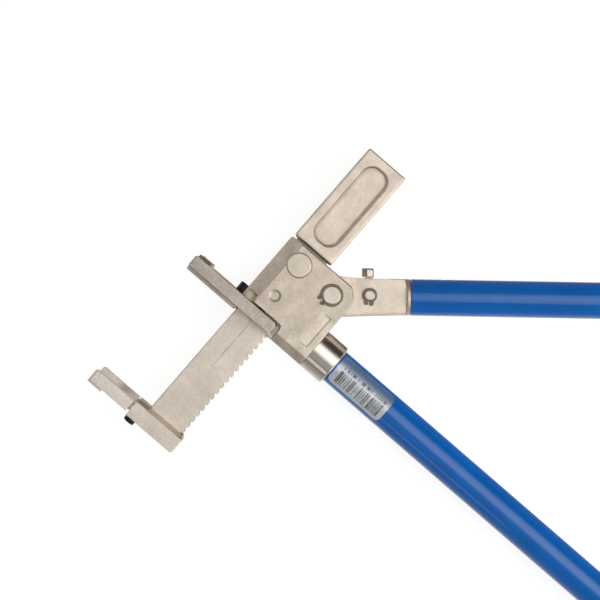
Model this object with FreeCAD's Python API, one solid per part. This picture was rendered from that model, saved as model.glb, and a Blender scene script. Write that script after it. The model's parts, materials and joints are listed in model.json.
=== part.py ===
import FreeCAD, Part
import math
import os

# Hand press for sliding sleeves on plastic pipe, lying flat. Millimetres.
# Origin: centre of the pipe seat in the head's fork. +X is the way the rack closes the jaws,
# -Y is the way the fixed handle points, +Z is up out of the flat faces.

V = FreeCAD.Vector
X_AXIS = V(1, 0, 0)
Y_AXIS = V(0, 1, 0)
Z_AXIS = V(0, 0, 1)

# pipe and forks
SEAT_R = 16.2
FORK_HALF_Z = 21.5
FORK_THICK = 7.4
HEAD_FORK_X = 0.8
HEAD_FORK_TIP_Y = 13.3
HEAD_FORK_END_Y = -49.2
FORK_LIP = 2.4
RACK_FORK_X = -88.1
RACK_FORK_TIP_Y = 13.7
RACK_FORK_END_Y = -14.9
FORK_TIP_R = 1.2
FORK_CORNER = 1.3
LIP_HALF_Z = 18.6
TIP_STEP = 1.9
TIP_SLOPE_Z = (17.2, 20.3)
FORK_SCREW_YZ = (-37.0, 10.6)
FORK_SCREW_R = 2.0
FORK_SCREW_LENGTH = 21.0
BOLT_Y = -19.75
BOLT_R = 2.0
BOLT_HEAD_R = 3.5
LOCK_HEAD_H = 4.8
LOCK_SHAFT = 8.0
WASHER_THICK = 1.2
RACK_BOLT_HEAD_H = 3.9
RACK_BOLT_SHAFT = 8.5
FORK_TONGUE_X = (-86.7, -83.7)
FORK_TONGUE_Y = -28.0
FORK_TONGUE_Z = 10.0
HEEL_TOP_Z = 9.5

# rack
RACK_BACK_Y = -24.6
RACK_TIP_Y = -49.6
RACK_HALF_Z = 6.0
RACK_FOOT_X = -83.4
RACK_TOP_X = 52.0
TOOTH_PITCH = 4.44
TOOTH_DEPTH = 1.8
TOOTH_COUNT = 28
FIRST_TOOTH_X = -78.4
TOOTH_FACE = 0.35
TOOTH_LAND = 1.75
TOOTH_FOOT = 3.6
SCRIBE_Y = (-36.2, -35.9)
SCRIBE_DEPTH = 0.15
TONGUE_Y = (-45.5, -28.5)
TONGUE_TOP_X = 92.0

# block on the rack's upper end
BLOCK_X = (55.5, 123.4)
BLOCK_Y = (-50.5, -22.1)
BLOCK_HALF_Z = 12.0
PANEL_X = (61.1, 117.8)
PANEL_Y = (-45.9, -27.6)
PANEL_R = 8.0
PANEL_DEPTH = 1.8
PANEL_SLOPE_X = 1.0
PANEL_SLOPE_Y = (2.0, 0.4)
PANEL_FLOOR_R = 6.7
BLOCK_EDGE_R = 1.3
BLOCK_PIN_X = (66.0, 82.0)
BLOCK_PIN_R = 2.5

# holder on the rack's lower end
HOLDER_X = (-90.9, -78.9)
HOLDER_FACE_X = -80.8
HOLDER_SLOPE_Z = 7.0
HOLDER_Y = (-51.8, -16.3)
HOLDER_HALF_Z = 12.5
HOLDER_CORNER_R = 3.6
HOLDER_SCREW_Y = (-43.0, -31.0)
HOLDER_SCREW_R = 2.5
HOLDER_SCREW_LENGTH = 22.0

# head casting
HEAD_X = (-1.2, 53.9)
HEAD_Y = (-75.3, -21.5)
HEAD_HALF_Z = 15.0
HEAD_EDGE = 0.7
FACE_X = 4.1
FACE_Y = -30.3
SIDE_BEVEL_Z = 6.5
TOE_BEVEL_Z = 8.0
NOTCH_Y = -49.4
GROOVE_X = 9.4
GROOVE_Y = -52.3
GROOVE_R = 2.4
GROOVE_Z = 8.5
NOOK_X = 13.8
NOOK_Y = (-29.2, -23.4)
NOOK_Z = 7.4
DIMPLE_XY = (20.1, -37.2)
DIMPLE_R = 3.8
DIMPLE_SLOPE = 1.3
DIMPLE_DEPTH = 0.9
POCKET_X = (9.6, 31.4)
POCKET_Y = (-71.2, -65.0)
POCKET_DEPTH = 0.45
CHANNEL_GAP = 0.1
CAVITY_X = 29.4
LEVER_HALF_Z = 8.0
SIDE_GAP = 0.15

# pivots
PIVOT = V(42.4, -62.4, 0)
MAIN_PIN_R = 5.5
LEVER_ANGLE = -49.1
PAWL_ARM = 22.7
PAWL_PIN_R = 3.2
PAWL_HALF_Z = 3.0
PAWL_EYE_R = 8.8
PAWL_HUB_R = 6.4
PAWL_SWING = 3.4
SLOT_FLOOR = -10.8
TAB_S = 21.9
TAB_TOP = 16.3
TAB_WIDTH = 7.0
CLIP_WIDTH = 1.2
CLIP_LUG_R = 1.35
RUN_GAP = 0.05
FIT_GAP = 0.02

# brake on the rack
BRAKE_XY = (43.2, -36.3)
PLUG_R = 7.5
PLUG_TOP_Z = 15.3
PLUG_LOW_Z = 12.0
PAD_R = 6.0
PAD_TOP_Z = 9.0

# handles
TUBE_R = 11.0
TUBE_WALL = 2.0
SOCKET_X = 11.75
SOCKET_R = 13.3
SOCKET_END_Y = -91.4
SOCKET_SPIGOT_R = 8.0
SOCKET_PIN_S = -7.0
TUBE_TOP_Y = -78.4
TUBE_LENGTH = 385.0
LEVER_TUBE_S = 47.2
LEVER_TUBE_W = -1.2
LEVER_TUBE_TILT = -1.0
COLLAR_WIDTH = 1.9
NECK_CURVE_R = 36.0
SPIGOT_LENGTH = 36.0
TUBE_PIN_S = 20.0
TUBE_PIN_R = 2.0
GRIP_R = 14.5
GRIP_LENGTH = 125.0
LABEL_X = (1.2, 40.6)
LABEL_Y = (-8.7, 9.4)

PARTS = {}


# ---- helpers -------------------------------------------------------------

def box(x, y, z):
    return Part.makeBox(x[1] - x[0], y[1] - y[0], z[1] - z[0], V(x[0], y[0], z[0]))


def rod(start, end, radius):
    line = end - start
    return Part.makeCylinder(radius, line.Length, start, line)


def cone(start, end, r_start, r_end):
    line = end - start
    return Part.makeCone(r_start, r_end, line.Length, start, line)


def ring(start, end, outer, inner):
    return rod(start, end, outer).cut(rod(start, end, inner))


def prism(points, z):
    corners = [V(x, y, z[0]) for x, y in points]
    face = Part.Face(Part.makePolygon(corners + corners[:1]))
    return face.extrude(V(0, 0, z[1] - z[0]))


def side_prism(points, x):
    """Outline in the YZ plane, pushed along X."""
    corners = [V(x[0], y, z) for y, z in points]
    face = Part.Face(Part.makePolygon(corners + corners[:1]))
    return face.extrude(V(x[1] - x[0], 0, 0))


def end_prism(points, y):
    """Outline in the XZ plane, pushed along Y."""
    corners = [V(x, y[0], z) for x, z in points]
    face = Part.Face(Part.makePolygon(corners + corners[:1]))
    return face.extrude(V(0, y[1] - y[0], 0))


def stadium(x, y, radius, z):
    """Closed wire: a rectangle in the XY plane with round corners."""
    flat = box(x, y, (z, z + 1))
    round_edges = [e for e in flat.Edges if abs(e.Vertexes[0].Z - e.Vertexes[-1].Z) > 0.5]
    flat = flat.makeFillet(radius, round_edges)
    floor = min(flat.Faces, key=lambda f: f.CenterOfMass.z)
    return floor.OuterWire


def union(shapes):
    return shapes[0].fuse(shapes[1:]).removeSplitter()


def subtract(shape, cutters):
    return shape.cut(cutters).removeSplitter()


def mirrored(shape):
    """The same shape on the other side of the flat middle plane."""
    return shape.mirror(V(0, 0, 0), Z_AXIS)


def both_sides(shape):
    return [shape, mirrored(shape)]


def edges_at(shape, test):
    return [e for e in shape.Edges if all(test(v.Point) for v in e.Vertexes)]


def near(a, b):
    return abs(a - b) < 0.01


def broken(shape, size, test):
    """Small chamfer on the edges whose ends pass the test."""
    edges = edges_at(shape, test)
    return shape.makeChamfer(size, edges) if edges else shape


def rounded(shape, radius, test):
    edges = edges_at(shape, test)
    return shape.makeFillet(radius, edges) if edges else shape


def on_lever(shape):
    """Move a shape drawn along the lever (pivot at zero) to its place on the head."""
    placed = shape.copy()
    placed.rotate(V(0, 0, 0), Z_AXIS, LEVER_ANGLE)
    placed.translate(PIVOT)
    return placed


def along_tube(shape):
    """Move a shape drawn along +X from zero to the lever tube's start and slant."""
    placed = shape.copy()
    placed.rotate(V(0, 0, 0), Z_AXIS, LEVER_TUBE_TILT)
    placed.translate(V(LEVER_TUBE_S, LEVER_TUBE_W, 0))
    return on_lever(placed)


def along_socket(shape):
    """Move a shape drawn along +X from zero to the fixed tube's top, pointing down."""
    placed = shape.copy()
    placed.rotate(V(0, 0, 0), Z_AXIS, -90)
    placed.translate(V(SOCKET_X, SOCKET_END_Y, 0))
    return placed


def add(name, shape):
    solids = shape.Solids
    assert solids and all(s.isValid() for s in solids), name
    PARTS[name] = solids[0] if len(solids) == 1 else Part.makeCompound(solids)


# ---- forks ---------------------------------------------------------------

def seat_cut(x):
    low = V(x[0] - 5, 0, 0)
    high = V(x[1] + 5, 0, 0)
    mouth = box((low.x, high.x), (0, 40), (-SEAT_R, SEAT_R))
    return rod(low, high, SEAT_R).fuse(mouth)


def tip_steps(root_x, step_x, y):
    """Low shoulders outside the tips, sloping away from the plate."""
    outline = [(root_x, SEAT_R), (step_x, SEAT_R), (step_x, TIP_SLOPE_Z[0]), (root_x, TIP_SLOPE_Z[1])]
    return both_sides(end_prism(outline, y))


def fork_plate(x, y):
    plate = box(x, y, (-FORK_HALF_Z, FORK_HALF_Z))
    return rounded(plate, FORK_TIP_R, lambda p: near(p.y, y[1]))


def head_fork():
    x = (HEAD_FORK_X, HEAD_FORK_X + FORK_THICK)
    plate = fork_plate(x, (HEAD_FORK_END_Y, HEAD_FORK_TIP_Y))
    plate = broken(plate, FORK_CORNER, lambda p: near(p.y, HEAD_FORK_END_Y) and near(p.x, x[1]))
    for z in (-FORK_HALF_Z, FORK_HALF_Z):
        plate = broken(plate, 0.7, lambda p: p.y < HEAD_FORK_END_Y + FORK_CORNER + 0.2 and near(p.z, z))
    lip_y = (RACK_BACK_Y + 0.4, HEAD_FORK_TIP_Y - 0.4)
    lip = box((x[0] - FORK_LIP, x[0]), lip_y, (-LIP_HALF_Z, LIP_HALF_Z))
    lip = rounded(lip, 0.8, lambda p: near(p.x, x[0] - FORK_LIP))
    steps = tip_steps(x[1], x[1] + TIP_STEP, (3.0, HEAD_FORK_TIP_Y - 1.4))
    body = union([plate, lip] + steps)
    slot_z = RACK_HALF_Z + 0.3
    slot = box((x[0] - 9, x[1] + 9), (-80, RACK_BACK_Y + 0.4), (-slot_z, slot_z))
    lock_hole = rod(V(x[0] - 9, BOLT_Y, 0), V(x[1] + 9, BOLT_Y, 0), BOLT_R + FIT_GAP)
    screw_holes = [countersink_cut(seat, FORK_SCREW_R) for seat in fork_screw_seats()]
    return subtract(body, [seat_cut(x), slot, lock_hole] + screw_holes)


def fork_screw_seats():
    return [V(HEAD_FORK_X, FORK_SCREW_YZ[0], z) for z in (-FORK_SCREW_YZ[1], FORK_SCREW_YZ[1])]


def countersink_cut(seat, radius):
    """Clearance hole with a countersink, from seat along +X."""
    shaft = rod(seat, seat + V(9.5, 0, 0), radius + 0.05)
    return shaft.fuse(cone(seat, seat + V(radius, 0, 0), 2 * radius + 0.05, radius + 0.05))


def countersunk_screw(seat, radius, length):
    """Flush screw along +X with a hexagon socket."""
    neck = seat + V(radius, 0, 0)
    head = cone(seat + V(0.05, 0, 0), neck, 2 * radius - 0.05, radius)
    shaft = rod(neck, seat + V(length, 0, 0), radius)
    return head.fuse(shaft).removeSplitter().cut(hexagon_x(seat, 1.2 * radius, 0.8 * radius))


def head_fork_screws():
    seats = fork_screw_seats()
    return Part.makeCompound([countersunk_screw(s, FORK_SCREW_R, FORK_SCREW_LENGTH) for s in seats])


def hexagon_x(start, flats, depth):
    """Hexagon socket cut, from start along +X (or -X for a negative depth)."""
    radius = flats / math.sqrt(3)
    corners = [
        V(start.x, start.y + radius * math.cos(a), start.z + radius * math.sin(a))
        for a in (math.radians(60 * i) for i in range(7))
    ]
    return Part.Face(Part.makePolygon(corners)).extrude(V(depth, 0, 0))


def cap_screw(seat, way, head_r, head_h, shaft_r, shaft_l):
    """Socket cap screw along X: way +1 puts the head on the +X side of its seat."""
    top = seat + V(way * head_h, 0, 0)
    head = rod(seat, top, head_r)
    head = broken(head, 0.5, lambda p: near(p.x, top.x))
    shaft = rod(seat - V(way * shaft_l, 0, 0), seat, shaft_r)
    key = hexagon_x(top, head_r * 0.85, -way * head_h * 0.55)
    return head.fuse(shaft).removeSplitter().cut(key)


def fork_lock_screw():
    washer_top = HEAD_FORK_X + FORK_THICK + WASHER_THICK
    return cap_screw(V(washer_top, BOLT_Y, 0), 1, BOLT_HEAD_R, LOCK_HEAD_H, BOLT_R, LOCK_SHAFT)


def fork_lock_washer():
    low = V(HEAD_FORK_X + FORK_THICK, BOLT_Y, 0)
    return ring(low, low + V(WASHER_THICK, 0, 0), BOLT_HEAD_R, BOLT_R + 0.1)


def rack_fork():
    x = (RACK_FORK_X, RACK_FORK_X + FORK_THICK)
    plate = fork_plate(x, (RACK_FORK_END_Y, RACK_FORK_TIP_Y))
    tongue_z = (-FORK_TONGUE_Z, FORK_TONGUE_Z)
    tongue = box(FORK_TONGUE_X, (FORK_TONGUE_Y, RACK_FORK_END_Y), tongue_z)
    heel_x = (x[0] + 0.3, x[1] - 0.3)
    heel = box(heel_x, (HOLDER_Y[1] + FIT_GAP, RACK_FORK_END_Y), (6.6, HEEL_TOP_Z))
    steps = tip_steps(x[0], x[0] - TIP_STEP, (3.6, RACK_FORK_TIP_Y))
    body = union([plate, tongue] + both_sides(heel) + steps)
    hole = rod(V(x[0] - 9, BOLT_Y, 0), V(x[1] + 9, BOLT_Y, 0), BOLT_R + FIT_GAP)
    return subtract(body, [seat_cut(x), hole])


# ---- rack, end block, holder ---------------------------------------------

def tooth_points():
    """Toothed edge, from the first tooth upwards: steep face down, long slope up."""
    root = RACK_TIP_Y + TOOTH_DEPTH
    points = []
    for i in range(TOOTH_COUNT):
        x = FIRST_TOOTH_X + i * TOOTH_PITCH
        points += [(x, root), (x + TOOTH_FACE, RACK_TIP_Y), (x + TOOTH_LAND, RACK_TIP_Y)]
        points += [(x + TOOTH_FOOT, root)]
    return points


def rack_bar():
    foot = [(RACK_FOOT_X, RACK_BACK_Y), (RACK_FOOT_X, RACK_TIP_Y + TOOTH_DEPTH)]
    top = [
        (RACK_TOP_X, RACK_TIP_Y + TOOTH_DEPTH),
        (BLOCK_X[0], RACK_TIP_Y + TOOTH_DEPTH),
        (BLOCK_X[0], TONGUE_Y[0]),
        (TONGUE_TOP_X, TONGUE_Y[0]),
        (TONGUE_TOP_X, TONGUE_Y[1]),
        (BLOCK_X[0], TONGUE_Y[1]),
        (BLOCK_X[0], RACK_BACK_Y),
    ]
    bar = prism(foot + tooth_points() + top, (-RACK_HALF_Z, RACK_HALF_Z))
    bar = broken(bar, 0.5, lambda p: near(p.y, RACK_BACK_Y) and near(abs(p.z), RACK_HALF_Z))
    scribe = box((-36, 50), SCRIBE_Y, (RACK_HALF_Z - SCRIBE_DEPTH, RACK_HALF_Z + 1))
    holes = [rod(V(x, -60, 0), V(x, 0, 0), BLOCK_PIN_R) for x in BLOCK_PIN_X]
    tap_r = HOLDER_SCREW_R + FIT_GAP
    taps = [rod(V(RACK_FOOT_X, y, 0), V(RACK_FOOT_X + 16, y, 0), tap_r) for y in HOLDER_SCREW_Y]
    return subtract(bar, [scribe] + holes + taps)


def panel_recess():
    """Stadium recess with sloping walls in the block's upper face."""
    top = stadium(PANEL_X, PANEL_Y, PANEL_R, BLOCK_HALF_Z)
    inner_x = (PANEL_X[0] + PANEL_SLOPE_X, PANEL_X[1] - PANEL_SLOPE_X)
    inner_y = (PANEL_Y[0] + PANEL_SLOPE_Y[0], PANEL_Y[1] - PANEL_SLOPE_Y[1])
    floor = stadium(inner_x, inner_y, PANEL_FLOOR_R, BLOCK_HALF_Z - PANEL_DEPTH)
    return Part.makeLoft([floor, top], True)


def rack_end_block():
    block = box(BLOCK_X, BLOCK_Y, (-BLOCK_HALF_Z, BLOCK_HALF_Z))
    block = block.makeFillet(BLOCK_EDGE_R, block.Edges)
    slot_x = (BLOCK_X[0] - 1, TONGUE_TOP_X + 0.5)
    slot_y = (TONGUE_Y[0] - 0.05, TONGUE_Y[1] + 0.05)
    slot = box(slot_x, slot_y, (-RACK_HALF_Z - 0.05, RACK_HALF_Z + 0.05))
    holes = [rod(V(x, -60, 0), V(x, 0, 0), BLOCK_PIN_R) for x in BLOCK_PIN_X]
    return subtract(block, both_sides(panel_recess()) + [slot] + holes)


def end_block_pins():
    pins = []
    for x in BLOCK_PIN_X:
        low = V(x, BLOCK_Y[0] + 0.4, 0)
        high = V(x, BLOCK_Y[1] - 0.4, 0)
        pins.append(ring(low, high, BLOCK_PIN_R - FIT_GAP, 1.4))
    return Part.makeCompound(pins)


def rack_holder():
    block = box(HOLDER_X, HOLDER_Y, (-HOLDER_HALF_Z, HOLDER_HALF_Z))
    block = rounded(block, HOLDER_CORNER_R, lambda p: near(p.y, HOLDER_Y[0]) and near(p.x, HOLDER_X[1]))
    block = block.cut(both_sides(holder_slope()))
    block = broken(block, 1.0, lambda p: near(p.y, HOLDER_Y[0]) and p.x < HOLDER_FACE_X + 0.1)
    rack_seat = box(
        (RACK_FOOT_X, HOLDER_X[1] + 1),
        (RACK_TIP_Y, RACK_BACK_Y + 0.05),
        (-RACK_HALF_Z - 0.05, RACK_HALF_Z + 0.05),
    )
    pocket_x = (FORK_TONGUE_X[0] - 0.05, FORK_TONGUE_X[1] + 0.05)
    pocket_z = FORK_TONGUE_Z + 0.05
    pocket = box(pocket_x, (FORK_TONGUE_Y - 0.05, 0), (-pocket_z, pocket_z))
    scoop = rod(V(-100, 0, 0), V(-70, 0, 0), SEAT_R + 0.7)
    fork_hole = rod(V(-100, BOLT_Y, 0), V(-70, BOLT_Y, 0), BOLT_R + RUN_GAP)
    screw_holes = [countersink_cut(seat, HOLDER_SCREW_R) for seat in holder_screw_seats()]
    return subtract(block, [rack_seat, pocket, scoop, fork_hole] + screw_holes)


def holder_slope():
    """Slope from the holder's flat face down toward the rack."""
    reach = 2.0
    rise = (HOLDER_HALF_Z - HOLDER_SLOPE_Z) / (HOLDER_X[1] - HOLDER_FACE_X)
    outline = [
        (HOLDER_FACE_X - reach, HOLDER_HALF_Z + reach * rise),
        (HOLDER_X[1] + reach, HOLDER_SLOPE_Z - reach * rise),
        (HOLDER_X[1] + reach, HOLDER_HALF_Z + reach * rise),
    ]
    return end_prism(outline, (-60, 0))


def holder_screw_seats():
    return [V(HOLDER_X[0], y, 0) for y in HOLDER_SCREW_Y]


def holder_screws():
    seats = holder_screw_seats()
    return Part.makeCompound([countersunk_screw(s, HOLDER_SCREW_R, HOLDER_SCREW_LENGTH) for s in seats])


def rack_fork_screw():
    seat = V(HOLDER_X[0], BOLT_Y, 0)
    return cap_screw(seat, -1, BOLT_HEAD_R, RACK_BOLT_HEAD_H, BOLT_R, RACK_BOLT_SHAFT)


# ---- head ----------------------------------------------------------------

def head_outline():
    return [
        (HEAD_X[0], HEAD_Y[0]),
        (HEAD_X[0], NOTCH_Y),
        (HEAD_FORK_X + FORK_THICK, NOTCH_Y),
        (HEAD_FORK_X + FORK_THICK, HEAD_Y[1]),
        (HEAD_X[1], HEAD_Y[1]),
        (HEAD_X[1], -68.5),
        (48.9, -74.3),
        (40.6, HEAD_Y[0]),
    ]


def side_bevel():
    """Long slope along the head's +Y side."""
    reach = 3.0
    rise = (HEAD_HALF_Z - SIDE_BEVEL_Z) / (HEAD_Y[1] - FACE_Y)
    outline = [
        (FACE_Y - reach, HEAD_HALF_Z + reach * rise),
        (HEAD_Y[1] + reach, SIDE_BEVEL_Z - reach * rise),
        (HEAD_Y[1] + reach, HEAD_HALF_Z + reach * rise),
    ]
    return side_prism(outline, (-20, 80))


def toe_bevel():
    """Slope along the toe's -X side, below the fork's tongues."""
    reach = 2.0
    rise = (HEAD_HALF_Z - TOE_BEVEL_Z) / (FACE_X - HEAD_X[0])
    outline = [
        (FACE_X + reach, HEAD_HALF_Z + reach * rise),
        (HEAD_X[0] - reach, TOE_BEVEL_Z - reach * rise),
        (HEAD_X[0] - reach, HEAD_HALF_Z + reach * rise),
    ]
    return end_prism(outline, (-90, 0))


def face_pocket():
    """Shallow wedge recess on the front face: deepest along its lower edge."""
    low, high = POCKET_Y
    above = HEAD_HALF_Z + 0.5
    outline = [(low, above), (low, HEAD_HALF_Z - POCKET_DEPTH), (high, HEAD_HALF_Z), (high, above)]
    return side_prism(outline, POCKET_X)


def face_dimple():
    """Shallow round spot with a sloping edge."""
    x, y = DIMPLE_XY
    floor = V(x, y, HEAD_HALF_Z - DIMPLE_DEPTH)
    above = V(x, y, HEAD_HALF_Z + DIMPLE_DEPTH)
    return cone(floor, above, DIMPLE_R - DIMPLE_SLOPE, DIMPLE_R + DIMPLE_SLOPE)


def fork_groove():
    """Open groove round the fork's edge on one face, with a round corner."""
    groove = box((HEAD_X[0] - 2, GROOVE_X), (GROOVE_Y, 0), (GROOVE_Z, HEAD_HALF_Z + 5))
    return rounded(groove, GROOVE_R, lambda p: near(p.x, GROOVE_X) and near(p.y, GROOVE_Y))


def head_edge(p):
    """Corners of the head's outline on its free sides."""
    return near(abs(p.z), HEAD_HALF_Z) and (p.y < -74 or p.x > 48)


def head_cavities():
    channel_y = (RACK_TIP_Y - CHANNEL_GAP, RACK_BACK_Y + CHANNEL_GAP)
    channel_z = RACK_HALF_Z + CHANNEL_GAP
    channel = box((-20, 80), channel_y, (-channel_z, channel_z))
    slot_z = LEVER_HALF_Z + SIDE_GAP
    lever_slot = box((CAVITY_X, 80), (-100, RACK_TIP_Y - 0.05), (-slot_z, slot_z))
    lever_slot = rounded(lever_slot, 4.0, lambda p: near(p.x, CAVITY_X) and near(p.y, RACK_TIP_Y - 0.05))
    pin_hole = rod(PIVOT - Z_AXIS * 20, PIVOT + Z_AXIS * 20, MAIN_PIN_R + FIT_GAP)
    x, y = BRAKE_XY
    plug_bore = rod(V(x, y, PLUG_LOW_Z), V(x, y, 20), PLUG_R + FIT_GAP)
    pad_bore = rod(V(x, y, 5), V(x, y, PLUG_LOW_Z), PAD_R + RUN_GAP)
    spigot = rod(V(SOCKET_X, -80, 0), V(SOCKET_X, -60, 0), SOCKET_SPIGOT_R + FIT_GAP)
    depth = V(FORK_SCREW_LENGTH + 1, 0, 0)
    taps = [rod(seat, seat + depth, FORK_SCREW_R + FIT_GAP) for seat in fork_screw_seats()]
    return [channel, lever_slot, pin_hole, plug_bore, pad_bore, spigot] + taps


def head_body():
    body = prism(head_outline(), (-HEAD_HALF_Z, HEAD_HALF_Z))
    body = broken(body, HEAD_EDGE, head_edge)
    body = subtract(body, both_sides(side_bevel()) + both_sides(toe_bevel()))
    nook = box((HEAD_FORK_X, NOOK_X), NOOK_Y, (NOOK_Z, 20))
    screw_pocket = rod(V(0, BOLT_Y, 0), V(15.0, BOLT_Y, 0), BOLT_HEAD_R + 0.4)
    cuts = both_sides(fork_groove()) + both_sides(nook) + [screw_pocket, face_dimple(), face_pocket()]
    return subtract(body, cuts + head_cavities())


# ---- brake ---------------------------------------------------------------

def brake_stack(z, radius):
    x, y = BRAKE_XY
    return rod(V(x, y, z[0]), V(x, y, z[1]), radius)


def brake_pad():
    return brake_stack((RACK_HALF_Z + RUN_GAP, PAD_TOP_Z), PAD_R)


def brake_springs():
    """Disc springs, stacked cup to cup."""
    x, y = BRAKE_XY
    discs = []
    for i in range(3):
        low = PAD_TOP_Z + i
        wide_low = i % 2 == 0
        outline = [(2.6, 0.45), (2.6, 1.0), (5.7, 0.5), (5.7, 0.0)]
        points = [V(r, 0, h if wide_low else 1.0 - h) for r, h in outline]
        face = Part.Face(Part.makePolygon(points + points[:1]))
        disc = face.revolve(V(0, 0, 0), Z_AXIS, 360)
        disc.translate(V(x, y, low))
        discs.append(disc)
    return Part.makeCompound(discs)


def brake_plug():
    plug = brake_stack((PLUG_LOW_Z, PLUG_TOP_Z), PLUG_R)
    return broken(plug, 0.5, lambda p: near(p.z, PLUG_TOP_Z))


# ---- pins and circlips ----------------------------------------------------

def grooved_pin(centre, radius, grip_z, tip_z):
    """Plain pin with a circlip groove just outside each face it holds."""
    pin = rod(centre - Z_AXIS * tip_z, centre + Z_AXIS * tip_z, radius)
    pin = pin.makeChamfer(0.5, [e for e in pin.Edges if e.Length > 1 and len(e.Vertexes) == 1])
    low = centre + Z_AXIS * grip_z
    groove = ring(low, low + Z_AXIS * 1.1, radius + 1, radius - 0.5)
    return subtract(pin, both_sides(groove))


def circlip(centre, radius, z, lug_angle):
    """External circlip: open ring with two pierced lugs beside its gap."""
    low = centre + Z_AXIS * (z + 0.05)
    outer = radius + CLIP_WIDTH
    clip = ring(low, low + Z_AXIS, outer, radius - 0.45)
    for side in (-1, 1):
        swing = math.radians(side * 15 * (5 + radius) / (2 * radius))
        at = low + V(math.cos(swing), math.sin(swing), 0) * (outer + 0.4)
        clip = clip.fuse(rod(at, at + Z_AXIS, CLIP_LUG_R)).cut(rod(at, at + Z_AXIS, 0.55))
    gap = box((0, 3 * radius), (-0.16 * radius, 0.16 * radius), (z - 1, z + 3))
    gap.translate(V(centre.x, centre.y, 0))
    clip = clip.cut(gap).removeSplitter()
    clip.rotate(centre, Z_AXIS, lug_angle)
    return clip


def main_pin():
    return grooved_pin(PIVOT, MAIN_PIN_R, HEAD_HALF_Z, HEAD_HALF_Z + 2.0)


def main_pin_circlips():
    return Part.makeCompound(both_sides(circlip(PIVOT, MAIN_PIN_R, HEAD_HALF_Z, 155)))


def pawl_centre():
    return V(PAWL_ARM, 0, 0)


def pawl_pin():
    return grooved_pin(pawl_centre(), PAWL_PIN_R, LEVER_HALF_Z, LEVER_HALF_Z + 1.7)


def pawl_pin_circlips():
    clip = circlip(pawl_centre(), PAWL_PIN_R, LEVER_HALF_Z, -97)
    return Part.makeCompound(both_sides(clip))


# ---- lever ----------------------------------------------------------------

def arm_outline():
    top = [(4, 11.6), (12, 10.6), (23, 9.9), (43.5, 9.4)]
    end = [(44.9, 4.5), (45.3, -1.2), (44.7, -7.0)]
    bottom = [(43.1, -11.9), (24, -12.2), (7, -12.9)]
    return [(0, 12.3)] + top + end + bottom + [(0, -12.4)]


def arm_edge_wedge():
    """Bevel along the arm's lower edge."""
    wedge = side_prism([(-4.0, 9.5), (-4.0, 6.5), (1.9, LEVER_HALF_Z), (1.9, 9.5)], (-4, 42))
    wedge.rotate(V(0, 0, 0), Z_AXIS, 1.6)
    wedge.translate(V(4, -13.0, 0))
    return wedge


def tube_neck():
    """Round neck behind the flats, and the spigot inside the tube."""
    neck = rod(V(-13, 0, 0), V(0, 0, 0), TUBE_R - 0.1)
    neck = broken(neck, 0.5, lambda p: near(p.x, 0))
    curve_s = -NECK_CURVE_R - COLLAR_WIDTH
    flat = rod(V(curve_s, 0, LEVER_HALF_Z), V(curve_s, 0, 20), NECK_CURVE_R)
    neck = neck.cut(both_sides(flat))
    spigot = rod(V(0, 0, 0), V(SPIGOT_LENGTH, 0, 0), TUBE_R - TUBE_WALL - 0.05)
    spigot = broken(spigot, 1.0, lambda p: near(p.x, SPIGOT_LENGTH))
    lever_body = neck.fuse(spigot).cut(tube_pin_hole())
    lever_body.rotate(V(0, 0, 0), Z_AXIS, LEVER_TUBE_TILT)
    lever_body.translate(V(LEVER_TUBE_S, LEVER_TUBE_W, 0))
    return lever_body


def pawl_slot():
    """Slot for the pawl: open over the root and along the top, with a floor under the arm."""
    z = (-PAWL_HALF_Z - SIDE_GAP, PAWL_HALF_Z + SIDE_GAP)
    return [box((-20, 9.0), (-30, 30), z), box((8.9, 31.0), (SLOT_FLOOR, 30), z)]


def lever_arm():
    root = rod(V(0, 0, -LEVER_HALF_Z), V(0, 0, LEVER_HALF_Z), 12.4)
    arm = prism(arm_outline(), (-LEVER_HALF_Z, LEVER_HALF_Z))
    arm = arm.cut(both_sides(arm_edge_wedge()))
    body = union([root, arm, tube_neck()])
    pivot_hole = rod(V(0, 0, -20), V(0, 0, 20), MAIN_PIN_R + RUN_GAP)
    pawl_hole = rod(pawl_centre() - Z_AXIS * 20, pawl_centre() + Z_AXIS * 20, PAWL_PIN_R + FIT_GAP)
    return subtract(body, pawl_slot() + [pivot_hole, pawl_hole])


# ---- pawl -----------------------------------------------------------------

def pawl():
    z = (-PAWL_HALF_Z, PAWL_HALF_Z)
    eye = rod(V(0, 0, z[0]), V(0, 0, z[1]), PAWL_EYE_R)
    eye_top = rod(V(0, PAWL_SWING, z[0]), V(0, PAWL_SWING, z[1]), PAWL_EYE_R)
    eye_side = box((-PAWL_EYE_R, PAWL_EYE_R), (0, PAWL_SWING), z)
    hub = rod(V(PAWL_ARM, 0, z[0]), V(PAWL_ARM, 0, z[1]), PAWL_HUB_R)
    link = prism([(5, -PAWL_HUB_R), (PAWL_ARM, -PAWL_HUB_R), (PAWL_ARM, PAWL_HUB_R), (4, 9.0)], z)
    body = union([eye, eye_top, eye_side, hub, link, pawl_nose(z), thumb_tab()])
    loose = MAIN_PIN_R + 0.35
    window = union([
        rod(V(0, 0, -9), V(0, 0, 9), loose),
        rod(V(0, PAWL_SWING, -9), V(0, PAWL_SWING, 9), loose),
        box((-loose, loose), (0, PAWL_SWING), (-9, 9)),
    ])
    bore = rod(pawl_centre() - Z_AXIS * 9, pawl_centre() + Z_AXIS * 9, PAWL_PIN_R + RUN_GAP)
    return subtract(body, [window, bore])


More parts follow.
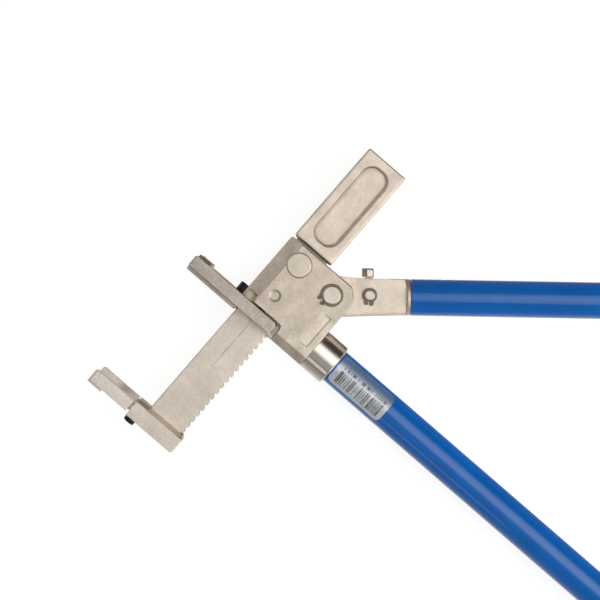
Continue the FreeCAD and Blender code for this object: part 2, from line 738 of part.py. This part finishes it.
def pawl_nose(z):
    """Driving tooth at the rack side: steep on the closing side, sloped behind."""
    toward_rack = V(-0.7559, 0.6547, 0)
    closing = V(0.6547, 0.7559, 0)
    steps = [(12.7, -0.4), (12.7, 0.4), (9.0, 1.6), (5.0, 1.6), (5.0, -4.0), (9.6, -4.4)]
    points = [toward_rack * out + closing * side for out, side in steps]
    return prism([(p.x, p.y) for p in points], z)


def thumb_tab():
    """Thumb piece standing above the arm's upper edge, with a sloping front side."""
    half = TAB_WIDTH / 2
    outline = [(-half, 0), (-0.6, 4.2), (2.6, 4.2), (half, 3.2), (half, -3.2), (2.6, -4.2), (-0.6, -4.2)]
    finger = end_prism([(TAB_S + x, z) for x, z in outline], (11.1, TAB_TOP))
    finger = rounded(finger, 1.6, lambda p: near(p.y, TAB_TOP) and p.x > TAB_S - half + 0.1)
    stem = box((TAB_S - 1.8, TAB_S + 3.0), (4, 12.5), (-PAWL_HALF_Z, PAWL_HALF_Z))
    return finger.fuse(stem)


def pawl_spring():
    """Small compression spring between the slot's floor and the pawl."""
    height = 4.1
    coil = Part.makeHelix(0.95, height - 0.6, 1.9)
    wire = Part.Wire(Part.makeCircle(0.28, V(1.9, 0, 0), Y_AXIS))
    solid = Part.Wire(coil).makePipeShell([wire], True, True)
    solid.rotate(V(0, 0, 0), X_AXIS, -90)
    solid.translate(V(13.0, SLOT_FLOOR + 0.3, 0))
    return solid


# ---- handles ---------------------------------------------------------------

def handle_tube():
    tube = ring(V(0, 0, 0), V(TUBE_LENGTH, 0, 0), TUBE_R, TUBE_R - TUBE_WALL)
    return broken(tube, 0.6, lambda p: near(p.x, 0) and near(math.hypot(p.y, p.z), TUBE_R))


def handle_grip():
    """Moulded sleeve with a flange at its front and shallow finger ribs."""
    start = TUBE_LENGTH - GRIP_LENGTH
    sleeve = rod(V(start, 0, 0), V(TUBE_LENGTH + 0.5, 0, 0), GRIP_R)
    flange = rod(V(start - 5, 0, 0), V(start, 0, 0), GRIP_R + 2.2)
    flange = flange.makeFillet(1.6, [e for e in flange.Edges if len(e.Vertexes) == 1])
    grooves = []
    for i in range(9):
        x = start + 12 + i * 12
        grooves.append(Part.makeTorus(GRIP_R + 0.9, 1.8, V(x, 0, 0), X_AXIS))
    bore = rod(V(start - 6, 0, 0), V(TUBE_LENGTH + 1, 0, 0), TUBE_R + FIT_GAP)
    return sleeve.fuse(flange).cut(grooves).cut(bore).removeSplitter()


def end_cap():
    """Domed plug that closes the tube and the grip."""
    plug = rod(V(TUBE_LENGTH - 14, 0, 0), V(TUBE_LENGTH + 0.5, 0, 0), TUBE_R - TUBE_WALL - 0.05)
    disc = rod(V(TUBE_LENGTH + 0.5, 0, 0), V(TUBE_LENGTH + 4.5, 0, 0), GRIP_R - 0.3)
    disc = disc.makeFillet(3.0, [e for e in disc.Edges if near(e.CenterOfMass.x, TUBE_LENGTH + 4.5)])
    return plug.fuse(disc).removeSplitter()


def lower_tube():
    tube = handle_tube()
    tube.translate(V(SOCKET_END_Y - TUBE_TOP_Y, 0, 0))
    return tube.cut(socket_pin_hole())


def handle_socket():
    """Turned sleeve: spigot up into the head, bore down over the tube."""
    foot = SOCKET_END_Y - TUBE_TOP_Y
    length = -(SOCKET_END_Y - HEAD_Y[0])
    sleeve = rod(V(-length, 0, 0), V(0, 0, 0), SOCKET_R)
    sleeve = broken(sleeve, 0.9, lambda p: near(p.x, 0))
    spigot = rod(V(-length - 15, 0, 0), V(-length, 0, 0), SOCKET_SPIGOT_R)
    spigot = broken(spigot, 1.0, lambda p: near(p.x, -length - 15))
    bore = rod(V(foot, 0, 0), V(2, 0, 0), TUBE_R + FIT_GAP)
    return sleeve.fuse(spigot).cut([bore, socket_pin_hole()]).removeSplitter()


def socket_pin_hole():
    return rod(V(SOCKET_PIN_S, -20, 0), V(SOCKET_PIN_S, 20, 0), TUBE_PIN_R)


def socket_pin():
    reach = SOCKET_R - 0.2
    low = V(SOCKET_PIN_S, -reach, 0)
    return ring(low, V(SOCKET_PIN_S, reach, 0), TUBE_PIN_R - FIT_GAP, 1.2)


def tube_pin_hole():
    return rod(V(TUBE_PIN_S, -20, 0), V(TUBE_PIN_S, 20, 0), TUBE_PIN_R)


def lever_tube_pin():
    """Spring pin across the lever tube and the spigot inside it."""
    reach = TUBE_R - 0.2
    return ring(V(TUBE_PIN_S, -reach, 0), V(TUBE_PIN_S, reach, 0), TUBE_PIN_R - FIT_GAP, 1.2)


def tube_label():
    """Thin sticker wrapped round the fixed tube, with round corners."""
    skin = ring(V(LABEL_X[0], 0, 0), V(LABEL_X[1], 0, 0), TUBE_R + 0.17, TUBE_R + 0.02)
    window = stadium(LABEL_X, LABEL_Y, 2.6, 0)
    return skin.common(Part.Face(window).extrude(V(0, 0, 30)))


# ---- assembly ----------------------------------------------------------------

def build_head():
    add("head_body", head_body())
    add("head_fork", head_fork())
    add("head_fork_screws", head_fork_screws())
    add("fork_lock_screw", fork_lock_screw())
    add("fork_lock_washer", fork_lock_washer())
    add("brake_pad", brake_pad())
    add("brake_springs", brake_springs())
    add("brake_plug", brake_plug())
    add("main_pin", main_pin())
    add("main_pin_circlips", main_pin_circlips())
    add("handle_socket", along_socket(handle_socket()))
    add("socket_pin", along_socket(socket_pin()))
    add("lower_tube", along_socket(lower_tube()))
    add("lower_grip", along_socket(shifted_down(handle_grip())))
    add("lower_end_cap", along_socket(shifted_down(end_cap())))
    add("tube_label", along_socket(tube_label()))


def shifted_down(shape):
    """The fixed tube starts inside its socket, so its far end moves by that much."""
    moved = shape.copy()
    moved.translate(V(SOCKET_END_Y - TUBE_TOP_Y, 0, 0))
    return moved


def build_rack():
    add("rack_bar", rack_bar())
    add("rack_end_block", rack_end_block())
    add("end_block_pins", end_block_pins())
    add("rack_holder", rack_holder())
    add("holder_screws", holder_screws())
    add("rack_fork", rack_fork())
    add("rack_fork_screw", rack_fork_screw())


def build_lever():
    add("lever_arm", on_lever(lever_arm()))
    add("pawl_pin", on_lever(pawl_pin()))
    add("pawl_pin_circlips", on_lever(pawl_pin_circlips()))
    add("pawl_spring", on_lever(pawl_spring()))
    add("lever_tube", along_tube(handle_tube().cut(tube_pin_hole())))
    add("lever_tube_pin", along_tube(lever_tube_pin()))
    add("lever_grip", along_tube(handle_grip()))
    add("lever_end_cap", along_tube(end_cap()))
    add("pawl", on_lever(pawl()))


build_head()
build_rack()
build_lever()
os.makedirs("parts", exist_ok=True)
for part_name, part_shape in PARTS.items():
    part_shape.exportStep(f"parts/{part_name}.step")
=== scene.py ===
"""Looks of the hand press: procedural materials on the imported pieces, floor, light and camera."""
import json
import math

import bpy
from mathutils import Euler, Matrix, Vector


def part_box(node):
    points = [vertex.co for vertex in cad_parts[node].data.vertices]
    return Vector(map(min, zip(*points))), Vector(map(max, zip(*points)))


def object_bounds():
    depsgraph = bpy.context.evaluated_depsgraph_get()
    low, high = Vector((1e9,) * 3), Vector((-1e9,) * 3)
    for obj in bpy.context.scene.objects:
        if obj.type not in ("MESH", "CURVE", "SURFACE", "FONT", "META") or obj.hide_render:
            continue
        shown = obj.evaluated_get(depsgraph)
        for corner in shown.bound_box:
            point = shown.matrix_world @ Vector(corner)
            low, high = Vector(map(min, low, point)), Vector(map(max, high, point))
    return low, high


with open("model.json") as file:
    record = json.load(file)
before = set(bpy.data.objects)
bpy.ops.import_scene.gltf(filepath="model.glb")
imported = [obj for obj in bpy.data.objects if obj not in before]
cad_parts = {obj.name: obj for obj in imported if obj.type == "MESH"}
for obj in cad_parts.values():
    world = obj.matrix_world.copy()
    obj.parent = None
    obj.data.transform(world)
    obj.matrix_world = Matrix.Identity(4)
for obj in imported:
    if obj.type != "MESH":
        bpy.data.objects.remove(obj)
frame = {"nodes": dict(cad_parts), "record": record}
cad_low, cad_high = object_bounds()

MM = 0.001

# camera: straight above, its picture turned about +Z
VIEW_TURN = math.radians(-49.1)
PICTURE_RIGHT = Vector((math.cos(VIEW_TURN), math.sin(VIEW_TURN), 0.0))
PICTURE_UP = Vector((-math.sin(VIEW_TURN), math.cos(VIEW_TURN), 0.0))
CENTRE = Vector((0.028, -0.050, 0.0))
CAMERA_HEIGHT = 1.0
FIELD = 0.36
SENSOR_MM = 36.0

# lamps: place (to the picture's right, up the picture, above the floor), size, power
KEY = ((1.3, -0.3, 1.2), (0.9, 0.9), 9.0)
FILL = ((-1.0, -1.15, 0.85), (1.0, 0.5), 1.0)

FLOOR_HALF = 4.0
FLOOR_GAP = 0.5 * MM
FLOOR_GREY = 0.35
FLOOR_ROUGHNESS = 0.9
FLOOR_GLOW = 0.85

# surround: each is a direction and its brightness by the cosine of the angle from it
WALLS = ((0, 0, 1), [(-1.0, 0.80), (-0.60, 0.62), (-0.42, 0.48), (-0.25, 0.38), (0.0, 0.32),
                     (0.3, 0.18), (1.0, 0.14)])
MAIN_BOX = ((0.27, -0.28, 0.92), [(-1.0, 0.0), (0.82, 0.0), (0.93, 1.15), (1.0, 1.90)])
LEFT_BOX = ((-0.50, 0.10, 0.86), [(-1.0, 0.0), (0.93, 0.0), (0.98, 0.22), (1.0, 0.28)])
NEAR_WALL = ((0.0, -1.0, 0.15), [(-1.0, 0.0), (0.85, 0.0), (0.95, 0.8), (1.0, 1.0)])
FAR_WALL = ((0.0, 1.0, -0.10), [(-1.0, 0.0), (0.30, 0.0), (0.80, 0.22), (1.0, 0.28)])
# the card multiplies the rest, and tints what it darkens
DARK_CARD = ((1.0, 0.15, -0.25), [(-1.0, 1.0), (0.50, 1.0), (0.72, 0.35), (1.0, 0.22)])
CARD_TINT = (1.0, 0.74, 0.60)
SKY_TOP = 2.5

# base colours, linear
NICKEL = (0.90, 0.785, 0.66)
HEAD_NICKEL = (0.825, 0.72, 0.602)
RACK_NICKEL = (0.875, 0.778, 0.662)
PLATE = (0.985, 0.885, 0.803)
BLASTED = (0.72, 0.635, 0.55)
POLISHED = (0.80, 0.735, 0.65)
SPRING = (0.21, 0.178, 0.142)
OXIDE = (0.012, 0.013, 0.015)
BLUE = (0.0, 0.130, 0.50)
BLUE_SCUFF = (0.06, 0.17, 0.45)
GRIP = (0.018, 0.018, 0.020)
GRIP_RUBBED = (0.06, 0.06, 0.065)
DUST = (0.045, 0.043, 0.040)
BRONZE = (0.62, 0.42, 0.18)
PAPER = (0.66, 0.68, 0.69)
FILM = (0.05, 0.18, 0.42)
INK = (0.06, 0.06, 0.06)
WHITE = (1.0, 1.0, 1.0)

# patterns shared by the metals, in mm, and how dark their pits and the painted shade in their gaps are
# against the metal
CLOUD_MM = 13.0
SMALL_CLOUD_MM = 2.6
CLOUD_SHARE = 0.65
FLECK_MM = 1.0
PORE_MM = 0.8
RUB_MM = 2.2
PATCH_MM = 6.0
EDGE_MM = 0.5
SEAM_MM = 0.7
ROUND_MM = 0.7
PIT_TONE = 0.45
PORE_TONE = 0.60
PAINTED_SHADE_TONE = 0.16

# sticker, in mm: margins along the tube, then bars, ticks and the fade to clear film across it
LABEL_MARGIN_LOW = 3.0
LABEL_MARGIN_HIGH = 3.4
BARS = (1.8, 9.8)
BAR_STEP = 0.45
TICKS = (10.8, 12.8)
TICK_STEP = 0.8
CLEARING = (9.5, 16.0)


# ---- node helpers ---------------------------------------------------------------

class Graph:
    """A node tree, with short calls for the nodes used here."""

    def __init__(self, tree):
        self.tree = tree

    def node(self, kind, **inputs):
        node = self.tree.nodes.new(kind)
        for key, value in inputs.items():
            self.put(node.inputs[key.replace("_", " ")], value)
        return node

    def put(self, socket, value):
        if isinstance(value, bpy.types.NodeSocket):
            self.tree.links.new(value, socket)
        else:
            socket.default_value = value

    def math(self, operation, a, b, clamp=False):
        node = self.tree.nodes.new("ShaderNodeMath")
        node.operation = operation
        node.use_clamp = clamp
        self.put(node.inputs[0], a)
        self.put(node.inputs[1], b)
        return node.outputs[0]

    def dot(self, a, b):
        node = self.tree.nodes.new("ShaderNodeVectorMath")
        node.operation = "DOT_PRODUCT"
        self.put(node.inputs[0], a)
        self.put(node.inputs[1], b)
        return node.outputs["Value"]

    def between(self, value, low, high):
        """1 where value is between low and high, else 0."""
        above = self.math("GREATER_THAN", value, low)
        return self.math("MULTIPLY", above, self.math("LESS_THAN", value, high))

    def ramp(self, factor, low, high, start=0.0, end=1.0):
        """Number that goes from low to high while factor goes from start to end."""
        node = self.tree.nodes.new("ShaderNodeMapRange")
        for key, value in zip(("Value", "From Min", "From Max", "To Min", "To Max"),
                              (factor, start, end, low, high)):
            self.put(node.inputs[key], value)
        return node.outputs["Result"]

    def mix(self, factor, a, b):
        """Colour a where factor is 0 and b where it is 1."""
        node = self.tree.nodes.new("ShaderNodeMix")
        node.data_type = "RGBA"
        self.put(node.inputs["Factor"], factor)
        self.put(node.inputs["A"], colour4(a))
        self.put(node.inputs["B"], colour4(b))
        return node.outputs["Result"]


class Skin(Graph):
    """A material's node tree, with patterns in object space."""

    def __init__(self, name):
        self.material = bpy.data.materials.new(name)
        self.material.use_nodes = True
        super().__init__(self.material.node_tree)
        self.shader = self.tree.nodes["Principled BSDF"]
        self.object_space = self.node("ShaderNodeTexCoord").outputs["Object"]

    def look(self, **sockets):
        """Set or link the shader's own sockets."""
        for key, value in sockets.items():
            self.put(self.shader.inputs[key.replace("_", " ")], value)

    def current(self, socket):
        """What is linked to one of the shader's sockets so far."""
        return self.shader.inputs[socket].links[0].from_socket

    def stripes(self, value, step):
        """Bars of uneven width: each step is on or off at random."""
        white = self.tree.nodes.new("ShaderNodeTexWhiteNoise")
        white.noise_dimensions = "1D"
        self.put(white.inputs["W"], self.math("FLOOR", self.math("MULTIPLY", value, 1.0 / step), 0.0))
        return self.math("GREATER_THAN", white.outputs["Value"], 0.5)

    def stretched(self, scale):
        """Object coordinates scaled along each axis, for grain with a direction."""
        node = self.tree.nodes.new("ShaderNodeMapping")
        self.put(node.inputs["Vector"], self.object_space)
        node.inputs["Scale"].default_value = scale
        return node.outputs["Vector"]

    def noise(self, size_mm, detail=3.0, rough=0.55, vector=None):
        """Noise from 0 to 1 whose blobs are about size_mm across."""
        scale = 1.0 / (size_mm * MM)
        node = self.node("ShaderNodeTexNoise", Scale=scale, Detail=detail, Roughness=rough)
        self.put(node.inputs["Vector"], vector or self.object_space)
        return node.outputs["Fac"]

    def bump(self, height, depth_mm, normal=None):
        node = self.tree.nodes.new("ShaderNodeBump")
        node.inputs["Strength"].default_value = 1.0
        node.inputs["Distance"].default_value = depth_mm * MM
        self.put(node.inputs["Height"], height)
        if normal is not None:
            self.put(node.inputs["Normal"], normal)
        return node.outputs["Normal"]

    def soft_edge(self, radius_mm):
        """Normal that rounds sharp edges a little."""
        node = self.tree.nodes.new("ShaderNodeBevel")
        node.samples = 4
        node.inputs["Radius"].default_value = radius_mm * MM
        return node.outputs["Normal"]

    def edge_mask(self, radius_mm, sharpness=6.0):
        """1 along sharp edges, 0 on flats."""
        flat = self.node("ShaderNodeNewGeometry").outputs["Normal"]
        off = self.math("SUBTRACT", 1.0, self.dot(self.soft_edge(radius_mm), flat))
        return self.math("MULTIPLY", off, sharpness, clamp=True)

    def crevice(self, reach_mm):
        """1 in the open, falling to 0 deep in a gap."""
        node = self.tree.nodes.new("ShaderNodeAmbientOcclusion")
        node.samples = 4
        node.inputs["Distance"].default_value = reach_mm * MM
        return node.outputs["AO"]


def colour4(value):
    if isinstance(value, tuple):
        return (*value, 1.0)
    return value


def darker(colour, share):
    return tuple(c * share for c in colour)


# ---- materials -------------------------------------------------------------------

def metal(name, colour, rough, grain_mm=0.9, grain_depth=0.03, mottle=0.05, fleck=0.05, edge=0.2,
          edge_tone=1.35, dirt=0.45, gap_mm=2.2, metallic=1.0):
    """Metal with a fine skin, cloudy tone, small dark pores, edges rubbed lighter (painted dark shade
    lines where edge_tone is below 1) and painted shade darkening its gaps.
    """
    g = Skin(name)
    # edges: rubbed lighter where edge_tone is above 1, painted dark shade lines where it is below 1
    edge_wear_and_shade = g.math("MULTIPLY", g.edge_mask(EDGE_MM), g.ramp(g.noise(RUB_MM), 0.2, 1.0, 0.35, 0.65))
    tone = speckled(g, colour, mottle, fleck)
    tone = g.mix(g.math("MULTIPLY", edge_wear_and_shade, edge), tone, darker(colour, edge_tone))
    # painted shade: the colour darkens to the shade tone where ambient occlusion finds a gap or crease
    unshaded = g.math("MULTIPLY", g.ramp(g.crevice(gap_mm), 1.0 - dirt, 1.0, 0.15, 0.75),
                   g.ramp(g.crevice(SEAM_MM), 1.0 - dirt, 1.0, 0.25, 0.80))
    fine = g.noise(grain_mm, detail=4.0, rough=0.65)
    roughness = g.math("ADD", g.ramp(fine, rough - 0.05, rough + 0.07, 0.3, 0.7),
                       g.ramp(g.noise(PATCH_MM, detail=2.0), -0.04, 0.04, 0.35, 0.65))
    g.look(Base_Color=g.mix(unshaded, darker(colour, PAINTED_SHADE_TONE), tone),
           Roughness=g.math("SUBTRACT", roughness, g.math("MULTIPLY", edge_wear_and_shade, 0.10)),
           Normal=g.bump(fine, grain_depth, g.soft_edge(ROUND_MM)),
           Metallic=metallic)
    return g


def speckled(g, colour, mottle, fleck):
    """Cloudy tone with fine dark flecks and scattered pores."""
    cloud = g.math("ADD", g.math("MULTIPLY", g.noise(CLOUD_MM, detail=3.0), CLOUD_SHARE),
                   g.math("MULTIPLY", g.noise(SMALL_CLOUD_MM, detail=4.0, rough=0.7), 1.0 - CLOUD_SHARE))
    tone = g.mix(g.ramp(cloud, 0.0, 1.0, 0.34, 0.66),
                 darker(colour, 1 - 1.6 * mottle), darker(colour, 1 + mottle))
    flecks = g.ramp(g.noise(FLECK_MM, detail=3.0), 0.0, fleck, 0.38, 0.66)
    tone = g.mix(flecks, tone, darker(colour, PIT_TONE))
    pores = g.ramp(g.noise(PORE_MM, detail=5.0, rough=0.75), 0.0, 0.5, 0.56, 0.74)
    return g.mix(pores, tone, darker(colour, PORE_TONE))


def casting(name, colour=NICKEL, rough=0.50, grain_depth=0.12, mottle=0.10, fleck=0.18, **gaps):
    """Plated casting whose sharp edges get painted shade as dark lines."""
    return metal(name, colour, rough, grain_depth=grain_depth, mottle=mottle, fleck=fleck,
                 edge=0.6, edge_tone=0.50, **gaps)


def nickel_casting():
    return casting("nickel_casting").material


def block_casting():
    """Casting with painted shade darkening the foot of the steep walls of the block's sunk panels."""
    g = casting("block_casting")
    # painted shade: the foot of the panels' steep walls darkens to the shade tone
    panel_foot_shade = g.ramp(g.crevice(2.8), 0.10, 1.0, 0.60, 0.84)
    g.look(Base_Color=g.mix(panel_foot_shade, darker(NICKEL, PAINTED_SHADE_TONE), g.current("Base Color")))
    return g.material


def head_casting():
    """The head is coloured a little darker than the lever and the block, with stronger, wider painted
    shade in its gaps.
    """
    return casting("head_casting", HEAD_NICKEL, 0.52, grain_depth=0.14, mottle=0.13, fleck=0.20,
                   dirt=0.60, gap_mm=3.6).material


def rack_steel():
    """Ground faces: long fine scratches along the bar."""
    # dark painted shade lines along its sharp edges, and strong, wide painted shade in its gaps
    g = metal("rack_steel", RACK_NICKEL, 0.45, grain_depth=0.09, mottle=0.09, fleck=0.18,
              edge=0.5, edge_tone=0.55, dirt=0.60, gap_mm=3.6)
    scratch = g.noise(0.35, detail=3.0, vector=g.stretched((0.05, 1.0, 1.0)))
    g.look(Normal=g.bump(scratch, 0.010, g.current("Normal")))
    return g.material


def blasted_steel():
    """Rough blasted fork with a dull, mottled grey face."""
    g = metal("blasted_steel", BLASTED, 0.56, grain_depth=0.18, mottle=0.12, fleck=0.34, edge=0.5)
    pits = g.ramp(g.noise(1.1, detail=8.0, rough=0.8), 0.0, 0.55, 0.55, 0.72)
    g.look(Base_Color=g.mix(pits, g.current("Base Color"), darker(BLASTED, PIT_TONE)))
    return g.material


def nickel_plate():
    return metal("nickel_plate", PLATE, 0.42, grain_depth=0.08, mottle=0.09, fleck=0.20).material


def polished_steel():
    """Turned socket: bright, with fine rings round its axis."""
    g = metal("polished_steel", POLISHED, 0.17, grain_mm=0.4, grain_depth=0.003, mottle=0.06, dirt=0.35)
    rings = g.noise(0.25, detail=2.0, vector=g.stretched((0.02, 1.0, 0.02)))
    g.look(Normal=g.bump(rings, 0.004, g.current("Normal")))
    return g.material


def pin_steel():
    return metal("pin_steel", darker(HEAD_NICKEL, 0.92), 0.40, mottle=0.08).material


def spring_steel():
    return metal("spring_steel", SPRING, 0.38, grain_depth=0.01, mottle=0.12, edge=0.5, dirt=0.2).material


def black_steel():
    return metal("black_steel", OXIDE, 0.30, grain_depth=0.01, mottle=0.2, edge=1.0,
                 metallic=0.35).material


def bronze():
    return metal("bronze", BRONZE, 0.32, mottle=0.08).material


def blue_paint():
    """Glossy powder coat with a slight orange peel."""
    g = Skin("blue_paint")
    tone = g.mix(g.ramp(g.noise(25.0), 0, 1, 0.3, 0.7), darker(BLUE, 0.9), darker(BLUE, 1.1))
    scuff = g.ramp(g.noise(3.0, detail=8.0, rough=0.75), 0.0, 0.25, 0.66, 0.80)
    peel = g.noise(1.6, detail=2.0, rough=0.4)
    g.look(Base_Color=g.mix(scuff, tone, BLUE_SCUFF),
           Normal=g.bump(peel, 0.012, g.soft_edge(0.4)),
           Roughness=g.ramp(g.noise(4.0), 0.20, 0.27, 0.3, 0.7),
           Coat_Weight=1.0,
           Coat_Roughness=0.06,
           Specular_IOR_Level=0.15)
    return g.material


def grip_rubber():
    """Soft black sleeve with a fine leathery skin and dust on its ribs."""
    g = Skin("grip_rubber")
    pebble = g.node("ShaderNodeTexVoronoi", Scale=1100.0, Vector=g.object_space)
    dust = g.ramp(g.noise(7.0, detail=6.0, rough=0.7), 0.0, 0.30, 0.45, 0.75)
    rubbed = g.mix(g.math("MULTIPLY", g.edge_mask(0.8), 0.4), GRIP, GRIP_RUBBED)
    g.look(Base_Color=g.mix(dust, rubbed, DUST),
           Normal=g.bump(pebble.outputs["Distance"], 0.05, g.soft_edge(0.4)),
           Roughness=g.ramp(g.noise(5.0), 0.55, 0.75, 0.3, 0.7))
    return g.material


def cap_plastic():
    """Moulded end cap with a finely sparked skin."""
    g = Skin("cap_plastic")
    spark = g.noise(0.6, detail=4.0)
    g.look(Base_Color=g.mix(g.ramp(g.noise(5.0), 0, 1, 0.3, 0.7), GRIP, darker(GRIP, 1.8)),
           Normal=g.bump(spark, 0.02, g.soft_edge(0.4)),
           Roughness=g.ramp(spark, 0.42, 0.55, 0.3, 0.7))
    return g.material


def sticker():
    """Foil sticker: plain bars and ticks, no lettering, clearing to blue film at one side."""
    low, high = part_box("tube_label")
    g = Skin("sticker")
    place = g.node("ShaderNodeSeparateXYZ", Vector=g.object_space)
    across = place.outputs["X"]
    along = place.outputs["Y"]
    bars, ticks = (
        g.math("MULTIPLY", g.stripes(along, step * MM),
               g.between(across, low.x + start * MM, low.x + end * MM))
        for step, (start, end) in ((BAR_STEP, BARS), (TICK_STEP, TICKS)))
    printed = g.between(along, low.y + LABEL_MARGIN_LOW * MM, high.y - LABEL_MARGIN_HIGH * MM)
    faded = g.ramp(g.noise(3.0, detail=5.0), 0.50, 0.90, 0.35, 0.65)
    ink = g.math("MULTIPLY", g.math("MULTIPLY", g.math("MAXIMUM", bars, ticks), printed), faded)
    paper = g.mix(g.ramp(g.noise(6.0), 0, 1, 0.3, 0.7), darker(PAPER, 0.88), darker(PAPER, 1.12))
    clear = g.ramp(across, 0.0, 0.85, low.x + CLEARING[0] * MM, low.x + CLEARING[1] * MM)
    g.look(Base_Color=g.mix(ink, g.mix(clear, paper, FILM), INK),
           Roughness=g.ramp(g.noise(4.0), 0.25, 0.38, 0.3, 0.7),
           Normal=g.bump(g.noise(5.0), 0.03),
           Metallic=0.35)
    return g.material


# one maker for each material slot in the record
MAKERS = {
    "nickel_casting": nickel_casting,
    "blasted_steel": blasted_steel,
    "nickel_plate": nickel_plate,
    "rack_steel": rack_steel,
    "polished_steel": polished_steel,
    "pin_steel": pin_steel,
    "spring_steel": spring_steel,
    "black_steel": black_steel,
    "bronze": bronze,
    "blue_paint": blue_paint,
    "grip_rubber": grip_rubber,
    "cap_plastic": cap_plastic,
    "label": sticker,
}


def dress(name, material):
    node = frame["nodes"][name]
    node.data.materials.clear()
    node.data.materials.append(material)


def dress_nodes():
    made = {slot: make() for slot, make in MAKERS.items()}
    for part in frame["record"]["subparts"]:
        dress(part["node"], made[part["material_slot"]])
    dress("head_body", head_casting())
    dress("rack_end_block", block_casting())


# ---- stage -------------------------------------------------------------------------

def floor():
    """Pale floor just under the lowest piece, glowing a little like a light table."""
    mesh = bpy.data.meshes.new("floor")
    z = cad_low[2] - FLOOR_GAP
    corners = [(x * FLOOR_HALF, y * FLOOR_HALF, z) for x, y in ((-1, -1), (1, -1), (1, 1), (-1, 1))]
    mesh.from_pydata(corners, [], [(0, 1, 2, 3)])
    plane = bpy.data.objects.new("floor", mesh)
    bpy.context.scene.collection.objects.link(plane)
    g = Skin("floor")
    g.look(Base_Color=colour4(darker(WHITE, FLOOR_GREY)),
           Roughness=FLOOR_ROUGHNESS,
           Specular_IOR_Level=0.0,
           Emission_Color=colour4(WHITE),
           Emission_Strength=FLOOR_GLOW)
    mesh.materials.append(g.material)
    plane.visible_glossy = False


def sky():
    """Studio surround: two soft boxes overhead, a pale wall at each end, a dark card to the right."""
    world = bpy.data.worlds.new("studio")
    bpy.context.scene.world = world
    world.use_nodes = True
    g = Graph(world.node_tree)
    direction = g.node("ShaderNodeTexCoord").outputs["Generated"]
    light = brightness(g, direction, *WALLS)
    for source in (MAIN_BOX, LEFT_BOX, NEAR_WALL, FAR_WALL):
        light = g.math("ADD", light, brightness(g, direction, *source))
    card = brightness(g, direction, *DARK_CARD)
    back = g.tree.nodes["Background"]
    g.put(back.inputs["Strength"], g.math("MULTIPLY", light, card))
    g.put(back.inputs["Color"], g.mix(card, CARD_TINT, WHITE))


def brightness(g, direction, aim, stops):
    """Brightness by the angle from aim: stops are (cosine, brightness)."""
    cosine_seen = g.dot(direction, Vector(aim).normalized())
    curve = g.tree.nodes.new("ShaderNodeFloatCurve")
    g.put(curve.inputs["Value"], g.ramp(cosine_seen, 0.0, 1.0, -1.0, 1.0))
    points = curve.mapping.curves[0].points
    for _ in stops[2:]:
        points.new(0.5, 0.5)
    for point, (cosine, value) in zip(points, stops):
        point.location = (cosine / 2 + 0.5, value / SKY_TOP)
        point.handle_type = "VECTOR"
    curve.mapping.update()
    return g.math("MULTIPLY", curve.outputs["Value"], SKY_TOP)


def softbox(name, place, size, power):
    """Area light aimed at the picture's centre."""
    right, up, height = place
    data = bpy.data.lights.new(name, "AREA")
    data.shape = "RECTANGLE"
    data.size, data.size_y = size
    data.energy = power
    lamp = bpy.data.objects.new(name, data)
    bpy.context.scene.collection.objects.link(lamp)
    lamp.location = CENTRE + PICTURE_RIGHT * right + PICTURE_UP * up + Vector((0, 0, height))
    lamp.rotation_euler = (CENTRE - lamp.location).to_track_quat("-Z", "Y").to_euler()


def camera():
    data = bpy.data.cameras.new("camera")
    data.sensor_width = SENSOR_MM
    data.lens = SENSOR_MM * CAMERA_HEIGHT / FIELD
    shot = bpy.data.objects.new("camera", data)
    bpy.context.scene.collection.objects.link(shot)
    shot.location = CENTRE + Vector((0, 0, CAMERA_HEIGHT))
    shot.rotation_euler = Euler((0, 0, VIEW_TURN))
    bpy.context.scene.camera = shot


dress_nodes()
floor()
sky()
softbox("key", *KEY)
softbox("fill", *FILL)
camera()
bpy.context.scene.view_settings.view_transform = "Standard"
